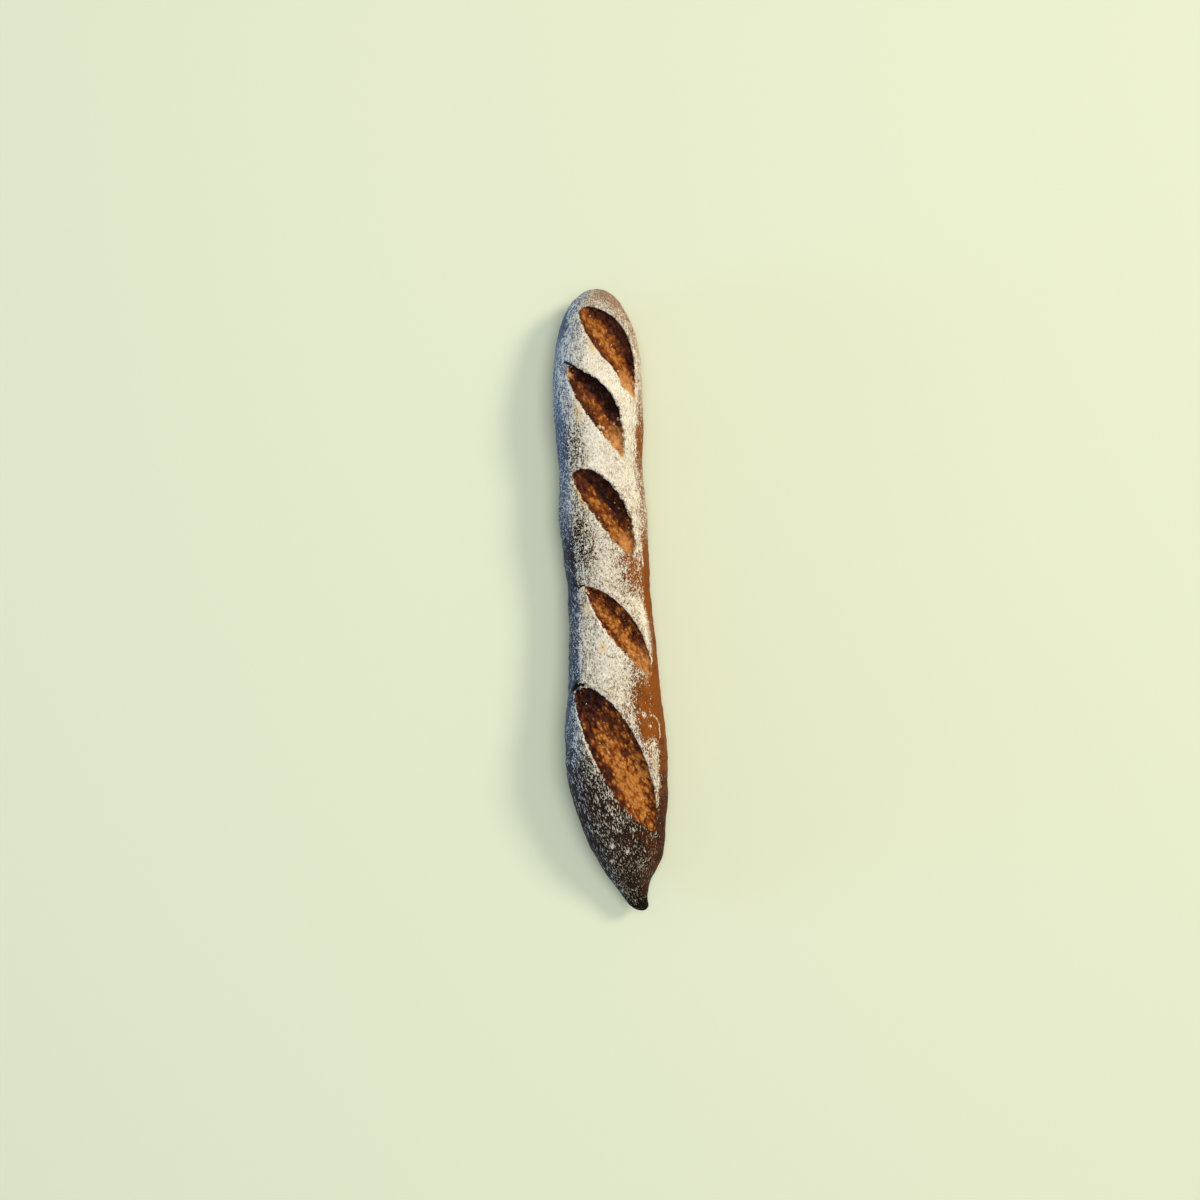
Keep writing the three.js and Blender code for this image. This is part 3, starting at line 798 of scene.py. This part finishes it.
    flourSum = addNode(material, "ShaderNodeMath", {0: read["lineFlour"], 1: onLine, 2: flourSum},
                       operation="MULTIPLY_ADD").outputs[0]
    raggedSum = addNode(material, "ShaderNodeMix", {0: 0.55, 2: noises["grain"], 3: noises["mottle"]}).outputs[0]
    ragged = addNode(material, "ShaderNodeMath", {0: raggedSum, 1: 4, 2: -2}, operation="MULTIPLY_ADD").outputs[0]
    edge = addNode(material, "ShaderNodeMath", {0: read["openingDepth"], 1: ragged}, operation="ADD").outputs[0]
    onRim = addNode(material, "ShaderNodeMapRange", {0: edge, 1: -1.3, 2: -0.6}).outputs[0]
    flourSum = addNode(material, "ShaderNodeMath", {0: read["rim"], 1: onRim, 2: flourSum},
                       operation="MULTIPLY_ADD").outputs[0]
    covered = addNode(material, "ShaderNodeMapRange", {0: flourSum, 1: 0.36, 2: 0.62},
                      interpolation_type="SMOOTHSTEP").outputs[0]
    thickSum = addNode(material, "ShaderNodeMath", {0: noises["mottle"], 1: 1.2, 2: flourSum},
                       operation="MULTIPLY_ADD").outputs[0]
    thick = addNode(material, "ShaderNodeMapRange", {0: thickSum, 1: 0.95, 2: 2.4}).outputs[0]
    flourTone = addNode(material, "ShaderNodeMix", {0: thick, 6: linear(crustLook["flourDull"]),
                                                    7: linear(crustLook["flourBright"])}, data_type="RGBA").outputs[2]
    # flour on the left flank tinted bluish: painted cool shade
    coolShadeShare = addNode(material, "ShaderNodeMath", {0: read["paintedCoolShade"], 1: 0.65}, operation="MULTIPLY").outputs[0]
    flourTone = addNode(material, "ShaderNodeMix", {0: coolShadeShare, 6: flourTone,
                                                    7: linear(crustLook["flourCoolShade"])}, data_type="RGBA").outputs[2]
    flourTone = addNode(material, "ShaderNodeMix", {0: read["butter"], 6: flourTone,
                                                    7: linear(crustLook["butter"])}, data_type="RGBA").outputs[2]
    outside = addNode(material, "ShaderNodeMix", {0: covered, 6: filmed, 7: flourTone}, data_type="RGBA").outputs[2]

    # the torn floor of an opening: granules of different bake, with painted shade between them and in dark pores, and
    # painted glints on them
    granules = addNode(material, "ShaderNodeTexVoronoi", {"Vector": alongOpening, "Scale": 1 / crustLook["crumbSize"]})
    granuleBake = addNode(material, "ShaderNodeSeparateColor", {0: granules.outputs["Color"]}).outputs[0]
    crumbSum = addNode(material, "ShaderNodeMix", {0: 0.45, 2: noises["crumb"], 3: granuleBake}).outputs[0]
    floorUneven = addNode(material, "ShaderNodeMath", {0: crumbSum, 1: 1.35, 2: -0.675}, operation="MULTIPLY_ADD").outputs[0]
    unevenShare = addNode(material, "ShaderNodeMath", {0: read["coarse"], 1: 0.8, 2: 0.2}, operation="MULTIPLY_ADD").outputs[0]
    floorUneven = addNode(material, "ShaderNodeMath", {0: floorUneven, 1: unevenShare}, operation="MULTIPLY").outputs[0]
    # painted shade between the granules
    shadeBetweenGranules = addNode(material, "ShaderNodeMath", {0: granules.outputs["Distance"], 1: 0.9, 2: -0.44},
                     operation="MULTIPLY_ADD").outputs[0]  # between the granules it is darker
    floorUneven = addNode(material, "ShaderNodeMath", {0: shadeBetweenGranules, 1: read["coarse"], 2: floorUneven},
                          operation="MULTIPLY_ADD").outputs[0]
    # raised crumb lighter, low crumb darker: painted light and shade following the relief
    raisedLightAndShade = addNode(material, "ShaderNodeMath", {0: read["crumbRise"], 1: -0.32, 2: read["floorBakeAndShade"]},
                         operation="MULTIPLY_ADD").outputs[0]
    floorBakedAndShaded = addNode(material, "ShaderNodeMath", {0: raisedLightAndShade, 1: floorUneven}, operation="ADD").outputs[0]
    toLight = addNode(material, "ShaderNodeMapRange", {0: floorBakedAndShaded, 1: 0.15, 2: -0.25}).outputs[0]
    toDarkFloor = addNode(material, "ShaderNodeMapRange", {0: floorBakedAndShaded, 1: 0.15, 2: 0.6}).outputs[0]
    # burnt tones, and painted shade under the lips
    toBurntAndShade = addNode(material, "ShaderNodeMapRange", {0: floorBakedAndShaded, 1: 0.66, 2: 1.2}).outputs[0]
    floorTone = addNode(material, "ShaderNodeMix", {0: toLight, 6: linear(crustLook["floorMid"]),
                                                    7: linear(crustLook["floorLight"])}, data_type="RGBA").outputs[2]
    tailShare = addNode(material, "ShaderNodeMath", {0: read["floorTail"], 1: 0.85}, operation="MULTIPLY").outputs[0]
    floorTone = addNode(material, "ShaderNodeMix", {0: tailShare, 6: floorTone, 7: linear(crustLook["floorTail"])},
                        data_type="RGBA").outputs[2]
    floorTone = addNode(material, "ShaderNodeMix", {0: toDarkFloor, 6: floorTone,
                                                    7: linear(crustLook["floorDark"])}, data_type="RGBA").outputs[2]
    floorTone = addNode(material, "ShaderNodeMix", {0: toBurntAndShade, 6: floorTone, 7: linear(crustLook["floorBurntAndShade"])},
                        data_type="RGBA").outputs[2]
    # painted shade: dark spots standing in for the crumb's pores
    poreShade = addNode(material, "ShaderNodeMapRange", {0: noises["poreShade"], 1: 0.31, 2: 0.24}).outputs[0]
    poreShadeShare = addNode(material, "ShaderNodeMath", {0: poreShade, 1: 0.6}, operation="MULTIPLY").outputs[0]
    floorTone = addNode(material, "ShaderNodeMix", {0: poreShadeShare, 6: floorTone, 7: linear(crustLook["floorBurntAndShade"])},
                        data_type="RGBA").outputs[2]
    # painted glints: light spots on the granules' middles, fewer on darker floor
    glints = addNode(material, "ShaderNodeMapRange", {0: granules.outputs["Distance"], 1: 0.32, 2: 0.14}).outputs[0]
    glintMost = addNode(material, "ShaderNodeMapRange", {0: toDarkFloor, 3: 0.75, 4: 0.05}).outputs[0]
    glintCoarse = addNode(material, "ShaderNodeMath", {0: read["coarse"], 1: glintMost}, operation="MULTIPLY").outputs[0]
    glintPlaces = addNode(material, "ShaderNodeMapRange", {0: noises["crumb"], 1: 0.42, 2: 0.58}).outputs[0]
    glintShare = addNode(material, "ShaderNodeMath", {0: glints, 1: glintCoarse}, operation="MULTIPLY").outputs[0]
    glintShare = addNode(material, "ShaderNodeMath", {0: glintShare, 1: glintPlaces}, operation="MULTIPLY").outputs[0]
    floorTone = addNode(material, "ShaderNodeMix", {0: glintShare, 6: floorTone, 7: linear(crustLook["paintedGlint"])},
                        data_type="RGBA").outputs[2]

    inOpening = addNode(material, "ShaderNodeMapRange", {0: edge, 1: -0.15, 2: 0.25},
                        interpolation_type="SMOOTHSTEP").outputs[0]
    colour = addNode(material, "ShaderNodeMix", {0: inOpening, 6: outside, 7: floorTone}, data_type="RGBA").outputs[2]
    tree.links.new(colour, shader.inputs["Base Color"])

    outsideRough = addNode(material, "ShaderNodeMapRange", {0: covered, 3: 0.62, 4: 0.95}).outputs[0]
    rough = addNode(material, "ShaderNodeMix", {0: inOpening, 2: outsideRough, 3: 0.5}).outputs[0]
    tree.links.new(rough, shader.inputs["Roughness"])
    shader.inputs["Specular IOR Level"].default_value = 0.07
    glossShare = addNode(material, "ShaderNodeMath", {0: inOpening, 1: 0.08}, operation="MULTIPLY").outputs[0]
    tree.links.new(glossShare, shader.inputs["Coat Weight"])  # caramelised granules glint
    shader.inputs["Coat Roughness"].default_value = 0.22

    grainBump = addNode(material, "ShaderNodeBump", {"Strength": 0.6, "Distance": 0.5 * millimetre,
                                                     "Height": fineSum}).outputs[0]
    granuleHeight = addNode(material, "ShaderNodeMath", {0: granules.outputs["Distance"], 1: -0.35, 2: noises["crumb"]},
                            operation="MULTIPLY_ADD").outputs[0]
    crumbBump = addNode(material, "ShaderNodeBump", {"Strength": 1, "Distance": 1.6 * millimetre,
                                                     "Height": granuleHeight}).outputs[0]
    bump = addNode(material, "ShaderNodeMix", {0: inOpening, 4: grainBump, 5: crumbBump}, data_type="VECTOR").outputs[1]
    tree.links.new(bump, shader.inputs["Normal"])
    return material


loaf.data.materials.clear()
loaf.data.materials.append(makeCrustMaterial())
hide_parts("loaf")
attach(loaf, "root")
print("crust finished")

chance = np.random.default_rng(41)


# One mesh of many copies of a small shape, each on a place of the loaf's surface, turned to it at random
def scatterOn(name, shape, places, normals, radii, flatness):
    bpy.ops.mesh.primitive_ico_sphere_add(subdivisions=shape["subdivisions"], radius=1)
    piece = bpy.context.object
    piece.name = name
    ball = readPoints(piece)
    corners = np.empty(len(piece.data.loops), np.int32)
    piece.data.loops.foreach_get("vertex_index", corners)
    count = len(places)
    rough = ball[None] * (1 + shape["roughness"] * chance.uniform(-1, 1, (count, len(ball), 1)))
    stretch = np.stack([chance.uniform(0.75, 1.35, count), chance.uniform(0.75, 1.1, count), np.full(count, flatness)], axis=-1)
    rough = rough * stretch[:, None, :] * radii[:, None, None]
    turn = chance.uniform(0, 2 * np.pi, count)
    helper = np.stack([np.cos(turn), np.sin(turn), np.full(count, 0.1)], axis=-1)
    side = np.cross(normals, helper)
    side /= np.linalg.norm(side, axis=-1, keepdims=True)
    other = np.cross(normals, side)
    points = places[:, None] + rough[..., :1] * side[:, None] + rough[..., 1:2] * other[:, None]
    points = points + (rough[..., 2:] + 0.2 * radii[:, None, None] * flatness) * normals[:, None]
    points[..., 2] = np.maximum(points[..., 2], 0)
    allCorners = (corners[None] + len(ball) * np.arange(count)[:, None]).reshape(-1, 3)
    mesh = bpy.data.meshes.new(name)
    mesh.from_pydata(points.reshape(-1, 3), [], allCorners)
    old = piece.data
    piece.data = mesh
    bpy.data.meshes.remove(old)
    turnFacesOut(piece)
    makeActive(piece)
    bpy.ops.object.shade_smooth()
    return piece


def surfaceOfLoaf():
    normals = np.empty(len(loaf.data.vertices) * 3)
    loaf.data.vertices.foreach_get("normal", normals)
    return readPoints(loaf), normals.reshape(-1, 3)


# Flour that clumped as it was dusted on: small lumps on the floured crust, a few on the crumb
flourClumps = {"count": 9000, "smallest": 0.16, "largest": 0.44, "flatness": 0.6,
               "shape": {"subdivisions": 1, "roughness": 0.2}, "colour": "#f6edd2", "shade": "#cdc3a6"}


def addFlourClumps():
    points, normals = surfaceOfLoaf()
    outside = smoothStep(-openingDepth, 0.2, 1)
    chances = np.clip(flourGrains, 0, 0.7) ** 1.2 * outside * onTop + 0.002 * (1 - outside) * (openingDepth > 0)
    chances = chances * (0.45 + 0.55 * smoothStep(along, 70, 130)) * (1 - 0.7 * smoothStep(along, 308, 322))
    chances = chances * np.where(openingDepth > -1, 0.3, 1)  # the faces are smaller there
    picked = chance.choice(len(points), flourClumps["count"], replace=False, p=chances / chances.sum())
    low = flourClumps["smallest"]
    radii = low + (flourClumps["largest"] - low) * chance.uniform(0, 1, len(picked)) ** 2.5
    places = points[picked] + chance.uniform(-0.3, 0.3, (len(picked), 3)) * millimetre * (1 - np.abs(normals[picked]))
    return scatterOn("flourClumps", flourClumps["shape"], places, normals[picked], radii * millimetre, flourClumps["flatness"])


# Scraps of crumb that stayed on the torn edges: across, along, half their size in mm
tornScraps = {
    "places": [(8.7, 259.2, 1), (9.6, 258.4, 0.7), (6.5, 256.5, 0.8), (7.4, 255.4, 0.6), (-0.7, 255.3, 1.3), (0.8, 254.6, 1.2),
               (2.6, 252.8, 0.6), (9.7, 284.1, 0.6), (14.6, 275.4, 0.8), (13.2, 277, 0.5), (-14.6, 286.4, 0.35),
               (-13.8, 284.8, 0.3), (-13.6, 283, 0.3), (-18.9, 118.6, 0.7), (-18.2, 122.9, 0.6), (-16.4, 121, 0.6),
               (-19.6, 116.5, 0.5), (-11.4, 170.8, 0.7), (-10.2, 169.6, 0.6), (-13, 172, 0.5), (3, 213, 0.4), (5.6, 216, 0.5),
               (7.4, 213, 0.4), (11.8, 203, 0.5), (12.2, 206.5, 0.4), (-3.5, 208, 0.5), (-2, 205, 0.4)],
    "flatness": 0.7, "shape": {"subdivisions": 2, "roughness": 0.24}, "colour": "#e9d5ae", "shade": "#b98d5c",
}


def addTornScraps():
    points, normals = surfaceOfLoaf()
    picked = []
    for x, y, size in tornScraps["places"]:
        distance = np.hypot(across - x, along - y) + 100 * (height < level + 4)
        picked.append(int(np.argmin(distance)))
    radii = np.array([size for x, y, size in tornScraps["places"]])
    return scatterOn("tornScraps", tornScraps["shape"], points[picked], normals[picked], radii * millimetre,
                     tornScraps["flatness"])


# Fine powder or dry crumb: matt all over, a little uneven in tone
def makePowderMaterial(name, look, patchSize):
    material = bpy.data.materials.new(name)
    material.use_nodes = True
    shader = material.node_tree.nodes["Principled BSDF"]
    place = addNode(material, "ShaderNodeTexCoord", {}).outputs["Object"]
    uneven = addNode(material, "ShaderNodeTexNoise", {"Vector": place, "Scale": 1000 / patchSize, "Detail": 2}).outputs[0]
    share = addNode(material, "ShaderNodeMapRange", {0: uneven, 1: 0.35, 2: 0.6}).outputs[0]
    tone = addNode(material, "ShaderNodeMix", {0: share, 6: linear(look["shade"]), 7: linear(look["colour"])},
                   data_type="RGBA").outputs[2]
    material.node_tree.links.new(tone, shader.inputs["Base Color"])
    bump = addNode(material, "ShaderNodeBump", {"Strength": 0.4, "Distance": 0.2 * millimetre, "Height": uneven}).outputs[0]
    material.node_tree.links.new(bump, shader.inputs["Normal"])
    shader.inputs["Roughness"].default_value = 0.95
    shader.inputs["Specular IOR Level"].default_value = 0.1
    return material


flour = addFlourClumps()
flour.data.materials.append(makePowderMaterial("wheatFlour", flourClumps, 1.2))
scraps = addTornScraps()
scraps.data.materials.append(makePowderMaterial("driedCrumb", tornScraps, 0.7))
for piece in (flour, scraps):
    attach(piece, "root")
print("flour and scraps scattered,", len(flour.data.polygons), "and", len(scraps.data.polygons), "faces")

floorLook = {"colour": "#e7eece", "size": 8}


def makeFloor():
    bpy.ops.mesh.primitive_plane_add(size=floorLook["size"], location=(0, 0, 0))
    floor = bpy.context.object
    floor.name = "paleFloor"
    material = bpy.data.materials.new("mattPaintedBoard")
    material.use_nodes = True
    shader = material.node_tree.nodes["Principled BSDF"]
    shader.inputs["Base Color"].default_value = linear(floorLook["colour"])
    shader.inputs["Roughness"].default_value = 1
    shader.inputs["Specular IOR Level"].default_value = 0
    floor.data.materials.append(material)


# An even soft light from above, a warm one from the right and a low bluish one from the left
studio = {
    "worldColour": "#f3f4f6", "worldStrength": 0.24,
    "lights": [
        {"name": "topLight", "colour": "#fbfdff", "power": 40, "place": (0.3, 0.15, 2.7), "size": 1.8},
        {"name": "keyLight", "colour": "#fff0e0", "power": 68, "place": (2.7, 1.2, 2.6), "size": 1.1},
        {"name": "fillLight", "colour": "#86b6ff", "power": 34, "place": (-3, -0.1, 0.5), "size": 1.0},
    ],
}


def addLight(name, place, size, power, colour):
    bpy.ops.object.light_add(type="AREA", location=place)
    light = bpy.context.object
    light.name = name
    light.data.shape = "DISK"
    light.data.size = size
    light.data.energy = power
    light.data.color = linear(colour)[:3]
    light.rotation_euler = (Vector((0, 0, 0.02)) - Vector(place)).to_track_quat("-Z", "Y").to_euler()


def makeStudio():
    for light in studio["lights"]:
        addLight(light["name"], light["place"], light["size"], light["power"], light["colour"])
    world = bpy.data.worlds.new("softRoom")
    bpy.context.scene.world = world
    world.use_nodes = True
    background = world.node_tree.nodes["Background"]
    background.inputs[0].default_value = linear(studio["worldColour"])
    background.inputs[1].default_value = studio["worldStrength"]
    bpy.context.scene.view_settings.view_transform = "Standard"


viewpoint = {"place": (-5.31, 0.7, 897), "turn": -2.267, "lens": 50}


def makeCamera():
    place = [value * millimetre for value in viewpoint["place"]]
    bpy.ops.object.camera_add(location=place, rotation=(0, 0, math.radians(viewpoint["turn"])))
    camera = bpy.context.object
    camera.name = "photoCamera"
    camera.data.lens = viewpoint["lens"]
    camera.data.sensor_width = 36
    bpy.context.scene.camera = camera


makeFloor()
makeStudio()
makeCamera()
print("stage set")
